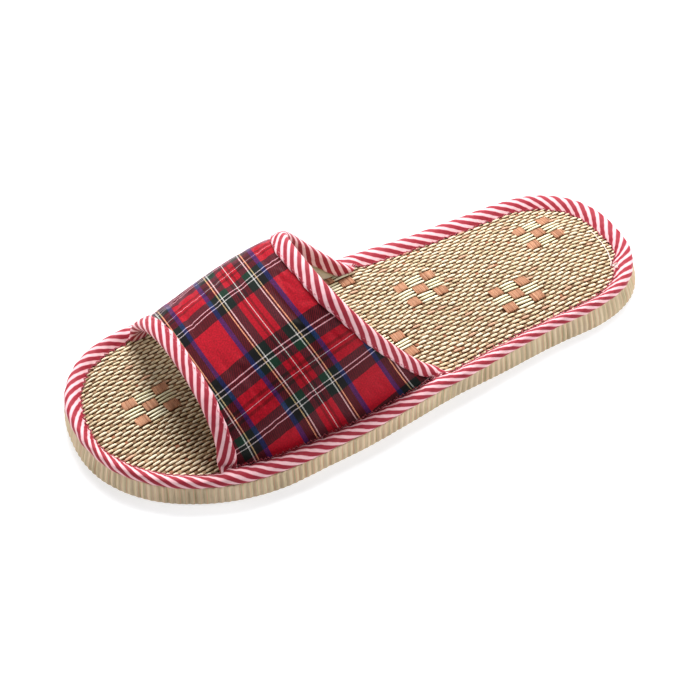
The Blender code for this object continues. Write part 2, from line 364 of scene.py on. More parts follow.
def bandPoints(column, down, height, fromBack=False):
    # points on the band: column 0 to 1 from the medial to the lateral side, a distance down
    # from its front or back edge, and a height over the outer face.
    # Columns past 0 and 1 are metres of cloth tucked in under the sole's tape.
    column, down, height = [x.copy() for x in np.broadcast_arrays(
        np.asarray(column, float), np.asarray(down, float), np.asarray(height, float))]
    inside = np.clip(column, 0, 1)
    tucked = np.abs(column - inside)
    place = inside * (bandColumns - 1)
    left = np.minimum(place.astype(int), bandColumns - 2)
    part = place - left
    reached = bandDown[:, left] * (1 - part) + bandDown[:, left + 1] * part
    if fromBack:
        down = reached[-1] - down
    past = down - np.clip(down, 0, reached[-1])
    flat = reached.reshape(bandShares, -1)
    share = np.array([np.interp(d, flat[:, k], np.arange(bandShares))
                      for k, d in enumerate(down.ravel())]).reshape(down.shape)
    row = np.minimum(share.astype(int), bandShares - 2)
    drop = share - row

    def read(table):
        sideways, downwards = (part, drop) if table.ndim == 2 else (part[..., None], drop[..., None])
        upper = table[row, left] * (1 - sideways) + table[row, left + 1] * sideways
        lower = table[row + 1, left] * (1 - sideways) + table[row + 1, left + 1] * sideways
        return upper * (1 - downwards) + lower * downwards

    face = read(bandFace) + read(bandAlong) * past[..., None]
    way, arc = read(bandWay), read(bandArc)
    side = np.sign(column - 0.5)
    stand = face[..., 2] - bandFoot - tucked            # below 0 where the cloth is tucked in
    above, below = arches["upright"]
    upright = ease(stand, above * mm, below * mm)[..., None]
    way = way * (1 - upright) + upright * np.stack([side, 0 * side, 0 * side], axis=-1)
    way /= np.linalg.norm(way, axis=-1)[..., None]
    points = face + way * height[..., None]
    bend, pressed = arches["footRound"] * mm, arches["footHeight"] * mm
    beyond = bend + pressed - stand
    turn = np.clip(beyond / (arches["footTurn"] * mm), 0, 1)
    depth = -height * (1 - turn * (1 - pressed / (arches["wall"] * mm)))
    angle = turn * np.pi / 2
    turned = beyond > 0
    out = bend - (bend + depth) * np.cos(angle) + np.maximum(beyond - arches["footTurn"] * mm, 0)
    points[..., 0] = np.where(turned, face[..., 0] + side * out, points[..., 0])
    points[..., 2] = np.where(
        turned, bandFoot + bend + pressed - (bend + depth) * np.sin(angle), points[..., 2])
    return points, arc + side * tucked, down


def closedSection(table, steps):
    # a smooth closed curve through a section's corners, in millimetres, evenly spaced over its
    # distances and heights, with the way round it from its first corner
    names = sorted(table[0], key=lambda key: key not in ("down", "inset", "height"))
    curve = throughCorners(np.array([[row[key] for key in names] for row in table]), 24)
    run = np.vstack([curve, curve[:1]])
    reached = distances(run[:, :2])
    at = np.linspace(0, reached[-1], steps + 1)
    return dict(zip(names, readAlong(at, reached, run).T)), at


print("outline of the sole and arches of the band ready")


# tools for materials

def newMaterial(name, roughness, **sockets):
    material = bpy.data.materials.new(name)
    material.use_nodes = True
    tree = material.node_tree
    shader = tree.nodes["Principled BSDF"]
    shader.inputs["Roughness"].default_value = roughness
    for key, value in sockets.items():
        shader.inputs[key.replace("_", " ")].default_value = value
    return material, tree, shader


def addNode(tree, kind, inputs=None, **settings):
    made = tree.nodes.new("ShaderNode" + kind)
    for key, value in settings.items():
        setattr(made, key, value)
    for key, value in (inputs or {}).items():
        if isinstance(value, bpy.types.NodeSocket):
            tree.links.new(value, made.inputs[key])
        else:
            made.inputs[key].default_value = value
    return made


def sums(tree, operation, *values):
    return addNode(tree, "Math", dict(enumerate(values)), operation=operation).outputs[0]


def mixColours(tree, share, one, other, blend="MIX"):
    made = addNode(tree, "Mix", data_type="RGBA", blend_type=blend)
    for key, value in (("Factor_Float", share), ("A_Color", one), ("B_Color", other)):
        socket = next(s for s in made.inputs if s.identifier == key)
        if isinstance(value, bpy.types.NodeSocket):
            tree.links.new(value, socket)
        else:
            socket.default_value = value
    return next(s for s in made.outputs if s.identifier == "Result_Color")


def ramp(tree, at, stops, blend="LINEAR"):
    made = addNode(tree, "ValToRGB", {"Fac": at})
    made.color_ramp.interpolation = blend
    bar = made.color_ramp.elements
    while len(bar) > 1:
        bar.remove(bar[-1])
    bar[0].position, bar[0].color = stops[0][0], stops[0][1]
    for place, colour in stops[1:]:
        bar.new(place).color = colour
    return made.outputs["Color"]


def grey(value):
    return (value, value, value, 1.0)


def linear(red, green, blue):
    # a colour as seen, 0 to 255, as the light values that a shader takes
    return tuple((x / 255 / 12.92) if x <= 10 else ((x / 255 + 0.055) / 1.055) ** 2.4
                 for x in (red, green, blue)) + (1.0,)


def splitMap(tree):
    place = addNode(tree, "UVMap")
    split = addNode(tree, "SeparateXYZ", {"Vector": place.outputs["UV"]})
    return split.outputs["X"], split.outputs["Y"], place.outputs["UV"]


def objectPlace(tree):
    return addNode(tree, "TexCoord").outputs["Object"]


def noise(tree, place, scale, detail):
    return addNode(tree, "TexNoise", {"Vector": place, "Scale": scale, "Detail": detail}).outputs["Fac"]


def dye(tree, at, stops):
    # a ramp between colours as seen
    return ramp(tree, at, [(place, linear(*colour)) for place, colour in stops])


def darken(tree, share, colour, at, *stops):
    # a colour times the greys that a value runs through
    greys = ramp(tree, at, [(place, grey(value)) for place, value in stops])
    return mixColours(tree, share, colour, greys, "MULTIPLY")


def surface(tree, shader, colour, height, strength, depth):
    # the shader's colour, and its bump with a depth in millimetres
    tree.links.new(colour, shader.inputs["Base Color"])
    bump = addNode(tree, "Bump", {"Height": height, "Strength": strength, "Distance": depth * mm})
    tree.links.new(bump.outputs["Normal"], shader.inputs["Normal"])


# outsole: a foam slab whose wall is pressed into fine upright ribs

outsole = dict(
    ribPitch=2.9, ribDepth=0.62, ribSharpness=1.5, pointsPerRib=8,
    # height in millimetres, share of the way in from the foot to the rim, how much further in,
    # and how deep the ribs are there
    wall=named(
        "height share inset ribs",
        (0.0, 0.0, 0.75, 0.0), (0.18, 0.0, 0.30, 0.4), (0.6, 0.0, 0.05, 0.9), (1.4, 0.0, -0.05, 1.0),
        (3.4, 0.16, -0.1, 1.0), (5.6, 0.45, 0.0, 1.0), (7.8, 0.85, 0.0, 0.9), (8.8, 1.0, 0.1, 0.6),
        (9.2, 1.0, 0.4, 0.3), (9.3, 1.0, 0.9, 0.0)),
)


foam = dict(            # colours as seen, by the noises that they follow
    mottle=((0.3, (174, 158, 130)), (0.5, (196, 176, 146)), (0.72, (210, 190, 163))),
    blotch=((0.35, (200, 186, 154)), (0.6, (222, 198, 166))),
    ribTint=((0.30, (214, 226, 196)), (0.45, (250, 250, 246)), (0.55, (255, 252, 250)),
             (0.70, (255, 218, 210))),
)


def makeFoam():
    material, tree, shader = newMaterial("tanFoam", 0.72)
    place = objectPlace(tree)
    tone = dye(tree, noise(tree, place, 70.0, 3.0), foam["mottle"])
    tone = mixColours(tree, 0.4, tone, dye(tree, noise(tree, place, 22.0, 2.0), foam["blotch"]))
    # each rib has a faint tone of its own, rosier or greener
    along, _, _ = splitMap(tree)
    ribs = addNode(tree, "TexNoise", {"W": sums(tree, "MULTIPLY", along, 330.0), "Detail": 1.0},
                   noise_dimensions="1D").outputs["Fac"]
    tone = mixColours(tree, 0.75, tone, dye(tree, ribs, foam["ribTint"]), "MULTIPLY")
    # painted light and shade: the wall lighter and darker by turns at the ribs' pitch, for the shading
    # of the ribs
    turns = 2 * math.pi / (outsole["ribPitch"] * mm)
    paintedRibShade = sums(tree, "MULTIPLY", sums(tree, "SINE", sums(tree, "MULTIPLY", along, turns)), 0.5)
    tone = darken(tree, 0.12, tone, sums(tree, "ADD", paintedRibShade, 0.5), (0.0, 0.55), (1.0, 1.0))
    surface(tree, shader, tone, noise(tree, place, 2600.0, 1.0), 0.25, 0.15)
    return material


def makeOutsole():
    s = outsole
    ribs = round(soleRound / (s["ribPitch"] * mm))
    along = np.linspace(0, soleRound, ribs * s["pointsPerRib"] + 1)
    # narrow grooves between broad round ribs
    groove = 1 - np.abs(np.sin(np.pi * along * ribs / soleRound)) ** s["ribSharpness"]
    uneven = 1 + wave(along, (0.047, 0.2, 0.1), (0.0117, 0.25, 0.6))
    rows = []
    for level in s["wall"]:
        inset = level["inset"] + s["ribDepth"] * groove * uneven * level["ribs"]
        inset = inset + footIn(along) * (1 - level["share"]) + rimIn(along) * level["share"]
        inset = inset + wave(along, (0.083, 0.08, 0.2), (0.031, 0.05, 0.5))
        rows.append(roundSole(along, inset * mm, level["height"] * mm))
    points = np.array(rows)
    piece = closedGrid("ribbedOutsole", points, 40, along[None], points[..., 2])
    finishPiece(piece, makeFoam(), ["outsole"])


makeOutsole()
print("outsole done")


# mat: flat cream strands along the foot over brown threads across it, with checkered motifs

mat = dict(                 # millimetres
    rowPitch=1.82,          # between strands
    threadPitch=2.66,       # between the pairs of threads that they go over and under
    lean=-0.0995,           # the strands run a little inwards towards the heel
    bow=0.000144,           # and bend slightly, per millimetre
    margin=1.4,             # how far the weave reaches in under the tape
    rowPairs=32, threadPairs=56,        # of the weave before it is cut to shape
    strand=dict(length=4.15, width=1.08, height=0.95, sink=0.10, square=0.7, room=1.0),
    knot=dict(length=2.0, width=1.44, height=0.70, sink=0.30, square=0.6, room=1.4),
    sideRoom=0.5,           # how far the weave reaches in under a motif's sides
    cellLength=7.33, cellRows=3,    # of a motif's cells
    clear=1.0,              # how far the middles of its cells stay off the tape
    threadSpan=6.0, threads=9,      # of a terracotta cell, along the foot
    backing=((3.4, -0.45), (3.2, 0.0), (6.0, 0.0), (9.0, 0.0), (12.0, 0.0), (15.0, 0.0),
             (18.0, 0.0), (21.0, 0.0), (24.5, 0.0)),    # insets and heights of its rings
    backingSteps=440,
    motifs=(                # places of the motifs' middles, in millimetres
        (-4.8, -101.0), (-27.0, -64.0), (12.0, -52.0), (-12.0, -24.0), (15.1, 2.4),
        (-35.7, -2.0), (-13.5, 33.1), (9.9, 69.6), (-18.6, 100.5)),
    chart=("XoX", "oXo", "XoX"),        # X terracotta threads, o long cream floats
)
loose = dict(               # how unevenly the strands lie, as the spread of their
    size=(0.8, 1.0, 0.6), smallest=0.75, largest=1.3,       # sizes across, along and up
    tilt=0.03, shift=(0.045, 0.09, 0.02),       # slopes, and places in millimetres
    tone=0.2, plainFrom=0.12, stray=0.035,      # tones, and the share of stained strands
    dip=0.16,               # of a strand's ends, under the threads beside them
)


strandLooks = dict(     # tones as seen, from a stray strand's to the palest one's
    creamRush=dict(fibres=(2200, 160, 900), dark=0.55, tones=(
        (0.0, (218, 178, 150)), (0.08, (216, 194, 158)), (0.12, (218, 200, 164)),
        (0.5, (238, 222, 191)), (1.0, (244, 232, 203)))),
    brownThread=dict(fibres=(200, 2600, 900), dark=0.55, tones=(
        (0.0, (164, 112, 84)), (0.12, (124, 94, 68)), (1.0, (197, 166, 132)))),
    ivoryRush=dict(fibres=(2200, 120, 900), dark=0.55, tones=(
        (0.0, (236, 228, 190)), (1.0, (255, 251, 222)))),
    terracottaThread=dict(fibres=(160, 2200, 900), dark=0.38, tones=(
        (0.0, (164, 112, 84)), (1.0, (200, 150, 118)))),
)
# painted shade: the lower sides of a strand, down in the weave, darker and browner, for the shade
# between the strands
paintedGapShade = ((0.12, (0.60, 0.46, 0.33, 1.0)), (0.48, (0.92, 0.83, 0.73, 1.0)), (0.85, grey(1.0)))


def makeStrands(name):
    # each strand has a tone of its own, and fibres run along it
    look = strandLooks[name]
    material, tree, shader = newMaterial(name, 0.55, Specular_IOR_Level=0.12)
    tone, rise = [addNode(tree, "Attribute", attribute_name=key, attribute_type="GEOMETRY").outputs[
        "Fac"] for key in ("tone", "rise")]
    stretch = addNode(tree, "Mapping", {"Vector": objectPlace(tree), "Scale": look["fibres"]})
    fibres = noise(tree, stretch.outputs["Vector"], 1.0, 2.0)
    colour = darken(tree, 0.45, dye(tree, tone, look["tones"]), fibres,
                    (0.3, look["dark"]), (0.62, 1.0))
    # painted shade: each strand darker and browner towards its bottom, by its corners' heights
    colour = mixColours(tree, 1.0, colour, ramp(tree, rise, paintedGapShade), "MULTIPLY")
    surface(tree, shader, colour, fibres, 0.5, 0.12)
    return material


# the backing's tones: dark partly as brown cotton and partly as painted shade for the deep gaps between
# the strands
ground = dict(rib=0.66, tones=((0.3, (60, 36, 18)), (0.7, (102, 70, 43))))


def makeGround():
    # the backing seen between the strands: brown cotton across the foot, made dark partly as painted
    # shade for the deep gaps between the strands
    material, tree, shader = newMaterial("matGround", 0.9, Specular_IOR_Level=0.1)
    place = objectPlace(tree)
    split = addNode(tree, "SeparateXYZ", {"Vector": place})
    turns = 2 * math.pi / (ground["rib"] * mm)
    rib = sums(tree, "SINE", sums(tree, "MULTIPLY", split.outputs["Y"], turns))
    surface(tree, shader, dye(tree, noise(tree, place, 260.0, 2.0), ground["tones"]), rib, 0.6, 0.2)
    return material


def bendMat(x, y):
    # from the loom's straight lines to the mat's slightly leaning ones
    slope = mat["lean"] + 2 * mat["bow"] * y
    sideways = wave(y + 0.6 * x, (41.0, 0.28, 0.1), (17.3, 0.09, 0.4))
    drift = wave(x - 0.3 * y, (33.0, 0.35, 0.3), (13.7, 0.10, 0.8))
    return x + mat["lean"] * y + mat["bow"] * y * y + sideways, y - slope * x + drift


def straighten(x, y):
    # the loom's place of a point on the mat, nearer with each turn
    loomX, loomY = x, y
    for _ in range(8):
        bentX, bentY = bendMat(loomX, loomY)
        loomX, loomY = loomX + (x - bentX), loomY + (y - bentY)
    return loomX, loomY


def strandBlank(name, blank, ends=0.65, corners=0.35):
    # one strand: a ball drawn out into a flat bar, with the powers that make its ends blunt
    bpy.ops.object.select_all(action="DESELECT")
    bpy.ops.mesh.primitive_uv_sphere_add(segments=8, ring_count=6, radius=1,
                                         rotation=(math.pi / 2, 0, 0))
    piece = namePiece(name)
    bpy.ops.object.transform_apply(location=False, rotation=True, scale=False)
    co = readCorners(piece)
    along = np.sign(co[:, 1]) * np.abs(co[:, 1]) ** ends
    ring = np.hypot(co[:, 0], co[:, 2])
    swell = (np.maximum(ring, 1e-6) ** (blank["square"] - 1) * (ring > 0.01)) ** corners
    section = np.sign(co) * np.abs(co) ** blank["square"]
    co = np.stack([section[:, 0] * swell, along, section[:, 2] * swell], axis=1)
    setCorners(piece, co * np.array([blank["width"], blank["length"], blank["height"]]) / 2 * mm)
    return piece


def repeatOver(piece, *runs):
    for count, step in runs:
        shapeWith(piece, "ARRAY", count=count, use_relative_offset=False, use_constant_offset=True,
                  constant_offset_displace=step)


def join(name, pieces):
    bpy.ops.object.select_all(action="DESELECT")
    for piece in pieces:
        piece.select_set(True)
    bpy.context.view_layer.objects.active = pieces[0]
    bpy.ops.object.join()
    return namePiece(name)


def lattice(name, blank, startThread):
    # the blank repeated over the mat on the loom's lines, every second row shifted by a thread
    row, thread = mat["rowPitch"], mat["threadPitch"]
    rows, threads = mat["rowPairs"], mat["threadPairs"]
    pieces = []
    for shift in (0, 1):
        copy = strandBlank(name + str(shift), blank)
        co = readCorners(copy)
        setCorners(copy, co + np.array([shift * row - rows * row,
                                        startThread + shift * thread - threads * thread, 0]) * mm)
        repeatOver(copy, (rows, (2 * row * mm, 0, 0)), (threads, (0, 2 * thread * mm, 0)))
        pieces.append(copy)
    return join(name, pieces), len(co)


def keepOnly(piece, keep):
    # deletes the corners that aren't kept
    only(piece)
    bpy.ops.object.mode_set(mode="EDIT")
    bpy.ops.mesh.select_mode(type="VERT")
    bpy.ops.mesh.select_all(action="DESELECT")
    bpy.ops.object.mode_set(mode="OBJECT")
    piece.data.vertices.foreach_set("select", ~keep)
    bpy.ops.object.mode_set(mode="EDIT")
    bpy.ops.mesh.delete(type="VERT")
    bpy.ops.object.mode_set(mode="OBJECT")


def nearMotif(x, y, room):
    # for places on the loom: well inside a motif's square of three by three cells or not
    length, width = 1.5 * mat["cellLength"], 1.5 * mat["cellRows"] * mat["rowPitch"]
    inside = np.zeros(len(x), bool)
    for middleX, middleY in motifPlaces:
        inside |= ((np.abs(x - middleX) < width - mat["sideRoom"])
                   & (np.abs(y - middleY) < length - room))
    return inside


def snapMotifs():
    # each motif sits on whole rows
    found = []
    for x, y in mat["motifs"]:
        x, y = straighten(x, y)
        found.append((round(x / mat["rowPitch"]) * mat["rowPitch"], y))
    return found


def settle(piece, each, blank, seed, wobble):
    # drops what lies outside the tape or in a motif, then bends and loosens the rest
    co = readCorners(piece).reshape(-1, each, 3)
    middle = co.mean(axis=1)
    x, y = middle[:, 0] / mm, middle[:, 1] / mm
    bentX, bentY = bendMat(x, y)
    inset, along = insetOf(np.stack([bentX, bentY, 0 * x], axis=1) * mm)
    keep = (inset > (edgeIn(along) - mat["margin"]) * mm) & ~nearMotif(x, y, blank["room"])
    keepOnly(piece, np.repeat(keep, each))
    placeStrands(piece, each, blank, seed, wobble)


def placeStrands(piece, each, blank, seed, wobble):
    luck = np.random.default_rng(seed)
    co = readCorners(piece).reshape(-1, each, 3)
    count = len(co)
    middle = co.mean(axis=1, keepdims=True)
    size = 1 + luck.normal(0, wobble, (count, 1, 3)) * np.array(loose["size"])
    local = (co - middle) * np.clip(size, loose["smallest"], loose["largest"])
    local[..., 2] += local[..., 1] * luck.normal(0, loose["tilt"], (count, 1))
    reach = np.abs(local[..., 1]) / (blank["length"] / 2 * mm)
    local[..., 2] -= loose["dip"] * mm * np.clip(reach, 0, 1.2) ** 4
    middle = middle + luck.normal(0, 1, (count, 1, 3)) * np.array(loose["shift"]) * mm
    co = local + middle
    x, y = bendMat(co[..., 0] / mm, co[..., 1] / mm)
    z = levelAt(x * mm, y * mm) + co[..., 2] + (blank["height"] / 2 - blank["sink"]) * mm
    setCorners(piece, np.stack([x * mm, y * mm, z], axis=-1).reshape(-1, 3))
    tone = np.clip(luck.normal(0.5, loose["tone"], count), 0, 1)
    stray = luck.random(count) < loose["stray"]
    tone = np.repeat(np.where(stray, 0.0, np.maximum(tone, loose["plainFrom"])), each)
    # how high each corner sits in its strand, which the painted shade of the strands' material follows
    rise = np.clip(0.5 + local[..., 2].ravel() / (blank["height"] * mm), 0, 1)
    for name, values in (("tone", tone), ("rise", rise)):
        piece.data.attributes.new(name, "FLOAT", "POINT").data.foreach_set(
            "value", values.astype(np.float32))


def motifBars(name, sign, blank, seed):
    # the bars of every motif: long cream floats, or terracotta threads side by side
    rowPitch, cell, threads = mat["rowPitch"], mat["cellLength"], mat["threads"]
    width = mat["cellRows"] * rowPitch
    bars = [((k - 1) * rowPitch, 0) for k in range(mat["cellRows"])]
    if sign == "X":
        bars = [(0, (k + 0.5 - threads / 2) * mat["threadSpan"] / threads) for k in range(threads)]
    places = []
    for middleX, middleY in motifPlaces:
        for i, row in enumerate(mat["chart"]):
            for j, mark in enumerate(row):
                x, y = middleX + (i - 1) * width, middleY + (j - 1) * cell
                inset, along = insetOf(np.array([[*bendMat(x, y), 0]]) * mm)
                if mark == sign and inset[0] >= (edgeIn(along[0]) + mat["clear"]) * mm:
                    places += [(x + sideways, y + further) for sideways, further in bars]
    bar = strandBlank(name, blank)
    base = readCorners(bar)
    copies = []
    for x, y in places:
        only(bar)
        bpy.ops.object.duplicate()
        copies.append(bpy.context.object)
        setCorners(copies[-1], base + np.array([x, y, 0]) * mm)
    bpy.data.objects.remove(bar)
    piece = join(name, copies)
    placeStrands(piece, len(base), blank, seed, 0.02)
    return piece


def makeGroundSheet():
    # the backing under the strands: rings from its rim inwards, and closed in the middle
    along = np.linspace(0, soleRound, mat["backingSteps"] + 1)
    points = np.array([roundSole(along, inset * mm, matLevel(inset * mm, along) + lift * mm)
                       for inset, lift in mat["backing"]])
    finishPiece(closedGrid("matGround", points, 40), makeGround(), ["insole"])


def levelAt(x, y):
    # the mat's height over places given in metres, from a raster of it
    place = np.stack([(x - levelLow[0]) / levelStep, (y - levelLow[1]) / levelStep], axis=-1)
    place = np.clip(place, 0, np.array(levels.shape) - 1.001)
    corner = place.astype(int)
    part = place - corner
    i, j, a, b = corner[..., 0], corner[..., 1], part[..., 0], part[..., 1]
    return (levels[i, j] * (1 - a) * (1 - b) + levels[i + 1, j] * a * (1 - b)
            + levels[i, j + 1] * (1 - a) * b + levels[i + 1, j + 1] * a * b)


# corners and step of that raster
levelLow, levelHigh, levelStep = (-0.056, -0.139), (0.057, 0.140), 1.6 * mm
sampleX, sampleY = np.meshgrid(*[np.arange(low, high, levelStep) for low, high in zip(
    levelLow, levelHigh)], indexing="ij")
samples = np.stack([sampleX.ravel(), sampleY.ravel()], axis=1)
levels = matLevel(*insetOf(samples)).reshape(sampleX.shape)


def finishStrands(piece, material):
    smooth(piece, 180)
    finishPiece(piece, makeStrands(material))


motifPlaces = snapMotifs()
for name, kind, startThread, seed, wobble, material in (
        ("rushStrands", "strand", 0.0, 3, 0.06, "creamRush"),
        ("threadKnots", "knot", mat["threadPitch"], 5, 0.07, "brownThread")):
    weave, each = lattice(name, mat[kind], startThread)
    settle(weave, each, mat[kind], seed, wobble)
    finishStrands(weave, material)
longStrand = dict(length=mat["cellLength"] + 1.8, width=1.05, height=1.0, sink=0.12, square=0.7)
finishStrands(motifBars("motifStrands", "o", longStrand, 7), "ivoryRush")
crossThread = dict(length=mat["threadSpan"] / mat["threads"] + 0.26, height=0.7, sink=-0.2,
                   width=mat["cellRows"] * mat["rowPitch"] - 0.1, square=0.7)
finishStrands(motifBars("motifThreads", "X", crossThread, 9), "terracottaThread")
makeGroundSheet()
print("mat done")


# tape round the mat: bias tape folded over its rim, puffed between the stitches

soleTape = dict(
    step=0.75, pitch=6.87, slope=-2.0, start=122.5,
    # share of the way in from the rim, height over the frame's mat in millimetres, and how much
    # the band lifts it: over the top from the inner edge to the rim, and back under it
    section=named(
        "share height lift",
        (1.0, -0.95, 2.15), (0.97, -0.70, 2.15), (0.86, 0.0, 1.9), (0.70, 0.95, 1.4),
        (0.50, 1.70, 0.8), (0.32, 1.95, 0.4), (0.16, 1.65, 0.15), (0.05, 0.85, 0.1),
        (-0.01, -0.2, 0.2), (-0.01, -1.0, 0.4), (0.03, -1.60, 0.6), (0.12, -1.84, 0.6),
        (0.22, -1.1, 0.4), (0.34, 0.35, 0.7), (0.64, -0.1, 1.35), (0.90, -1.05, 2.1),
        (0.98, -1.25, 2.2)),
    topRows=9,      # of the section, on the tape's upper side
    leaf=6.2,       # width of the upper side, to space its points evenly
    stitch=3.35,    # between the stitches of its inner edge
    pucker=0.16, scallop=0.26,
)


stripes = dict(crimson=(154, 26, 46), pale=(240, 194, 199), blush=(206, 112, 128), thread=0.26,
               wander=1.4)      # how far their edges waver, in millimetres


def makeStripes(name, lay):
    # woven stripes on the bias: along the tape in U, across it in V
    material, tree, shader = newMaterial(name, 0.6, Sheen_Weight=0.1, Sheen_Roughness=0.4,
                                         Specular_IOR_Level=0.3)
    along, across, uv = splitMap(tree)
    shift = sums(tree, "MULTIPLY", sums(tree, "SUBTRACT", noise(tree, uv, 60.0, 1.0), 0.5),
                 stripes["wander"] * mm)
    slant = sums(tree, "ADD", along, sums(tree, "MULTIPLY", across, lay["slope"]))
    place = sums(tree, "ADD", sums(tree, "SUBTRACT", slant, lay["start"] * mm), shift)
    cycle = sums(tree, "FRACT", sums(tree, "DIVIDE", place, lay["pitch"] * mm))
    tone = dye(tree, cycle, [(at, stripes[yarn]) for at, yarn in (
        (0.0, "pale"), (0.16, "pale"), (0.225, "blush"), (0.26, "crimson"), (0.74, "crimson"),
        (0.775, "blush"), (0.84, "pale"))])
    tone = darken(tree, 0.22, tone, noise(tree, uv, 2400.0, 2.0), (0.3, 0.55), (0.7, 1.0))
    turns = 2 * math.pi / (stripes["thread"] * mm)
    warp, weft = [sums(tree, "SINE", sums(tree, "MULTIPLY", way, turns)) for way in (along, across)]
    surface(tree, shader, tone, sums(tree, "MULTIPLY", warp, weft), 0.35, 0.05)
    return material


def edgeWander(along):
    # how far the tape's inner edge strays inwards, in millimetres
    return wave(along, (soleTape["stitch"] * mm, 0.16, 0.0), (0.0171, 0.16, 0.3), (0.043, 0.12, 0.7))


def soleTapePoints(along, share, height, lift):
    # the tape's surface, with its lift, the waves of its edges and its puckers
    s = soleTape
    raised = underBand(roundSole(along, 0.0, 0.0))
    rim, edge = rimIn(along), edgeIn(along)
    nearEdge = np.clip(share * 1.4 - 0.4, 0, 1)
    shift = edgeWander(along) + s["scallop"] * raised * wave(along, (s["pitch"] * mm, 1.0, 0.2))
    swell = wave(along, (s["stitch"] * mm, 0.5, 0.25), (0.0069, 0.6, 0.4), (0.0231, 0.8, 0.1))
    crown = np.exp(-((share - 0.42) / 0.3) ** 2) * (height > 0.5)
    inset = rim + (edge - rim) * share + shift * nearEdge
    inset = inset - 0.12 * wave(along, (0.0093, 1.0, 0.2), (0.029, 1.0, 0.6)) * (share < 0.1)
    height = height + lift * raised + s["pucker"] * swell * crown
    return roundSole(along, inset * mm, matTop + height * mm)


def makeSoleTape():
    s = soleTape
    section, _ = closedSection([dict(row, inset=s["leaf"] * (1 - row["share"]))
                                for row in s["section"]], 44)
    across = distances(np.stack([section["inset"], section["height"]], axis=1))
    along = np.linspace(0, soleRound, int(soleRound / (s["step"] * mm)) + 1)
    points = soleTapePoints(along[:, None], *[section[key][None] for key in (
        "share", "height", "lift")])
    points[-1] = points[0]
    # a whole number of stripes goes round
    repeats = round(soleRound / (s["pitch"] * mm))
    mapped = along * repeats * s["pitch"] * mm / soleRound
    piece = closedGrid("soleTape", points, 180, mapped[:, None], across[None] * mm)
    finishPiece(piece, makeStripes("soleStripes", s), ["sole_binding"])
    declareTape(piece)


makeSoleTape()
print("tape round the mat done")


# sewing threads

sewing = dict(
    # the zigzag's pitch, its reach on the mat and on the tape, and how far it strays
    zigzag=3.35, reachIn=0.55, reachOut=0.30, stray=0.12, uneven=0.18,
    legs=((0.0, -1), (0.22, -0.15), (0.5, 1), (0.72, 0.15)),    # of a turn, and where they lean
    # how much longer and wilder its loops are where the tape was turned, and where that is
    loops=1.6, loopStray=0.5, turnedX=(10, 35), turnedY=(10, 25),
    # its height over the mat, the tape and both, and beside the band its reach, rise and sinking
    overMat=0.55, overTape=0.08, overBoth=0.1, bandReach=0.5, bandRise=2.3, bandSink=0.2,
    thread=0.46, colour=(156, 30, 50),
    hem=2.45, hemStitch=1.5, hemThread=0.36, hemInset=0.95, hemHeight=0.62, hemBow=0.3,
    hemColour=(196, 92, 110),
    flap=dict(start=291.0, end=326.0, inset=12.3, bow=0.5, height=0.72, waver=0.12, thread=0.45,
              colour=(240, 222, 214)),
    # its threads fan out over the tape, which has that rim and width there
    tuft=dict(threads=6, step=0.6, back=0.5, length=2.2, inset=10.4, fan=0.5, comb=1.6, curl=0.7,
              height=0.8, bow=0.3, rim=2.3, width=9.6, thread=0.34),
)


def makeThread(name, colour):
    material, tree, shader = newMaterial(name, 0.6, Sheen_Weight=0.3)
    twist = noise(tree, objectPlace(tree), 1800.0, 1.0)
    tone = darken(tree, 0.5, linear(*colour), twist, (0.3, 0.6), (0.6, 1.0))
    surface(tree, shader, tone, twist, 0.4, 0.06)
    return material


def threadAlong(name, path, radius, sides=6):
    # a thin closed thread swept along points
    path = np.asarray(path)
    along = np.gradient(path, axis=0)
    along /= np.linalg.norm(along, axis=1)[:, None]
    side = np.cross(along, np.array([0.0, 0.0, 1.0]))
    side /= np.maximum(np.linalg.norm(side, axis=1), 1e-6)[:, None]
    up = np.cross(side, along)
    angle = np.linspace(0, 2 * np.pi, sides + 1)[None, :, None]
    thick = np.full((len(path), 1, 1), radius)
    thick[0] = thick[-1] = radius * 0.4
    points = path[:, None] + thick * (np.cos(angle) * side[:, None] + np.sin(angle) * up[:, None])
    return closedGrid(name, points, 180)


def tapeTop(along, share):
    # the height of the sole tape's upper side
    rows = soleTape["section"][:soleTape["topRows"]][::-1]
    table = np.array([[row["share"], row["height"], row["lift"]] for row in rows])
    _, height, lift = readAlong(share, table[:, 0], table).T
    return soleTapePoints(along, share, height, lift)[..., 2]


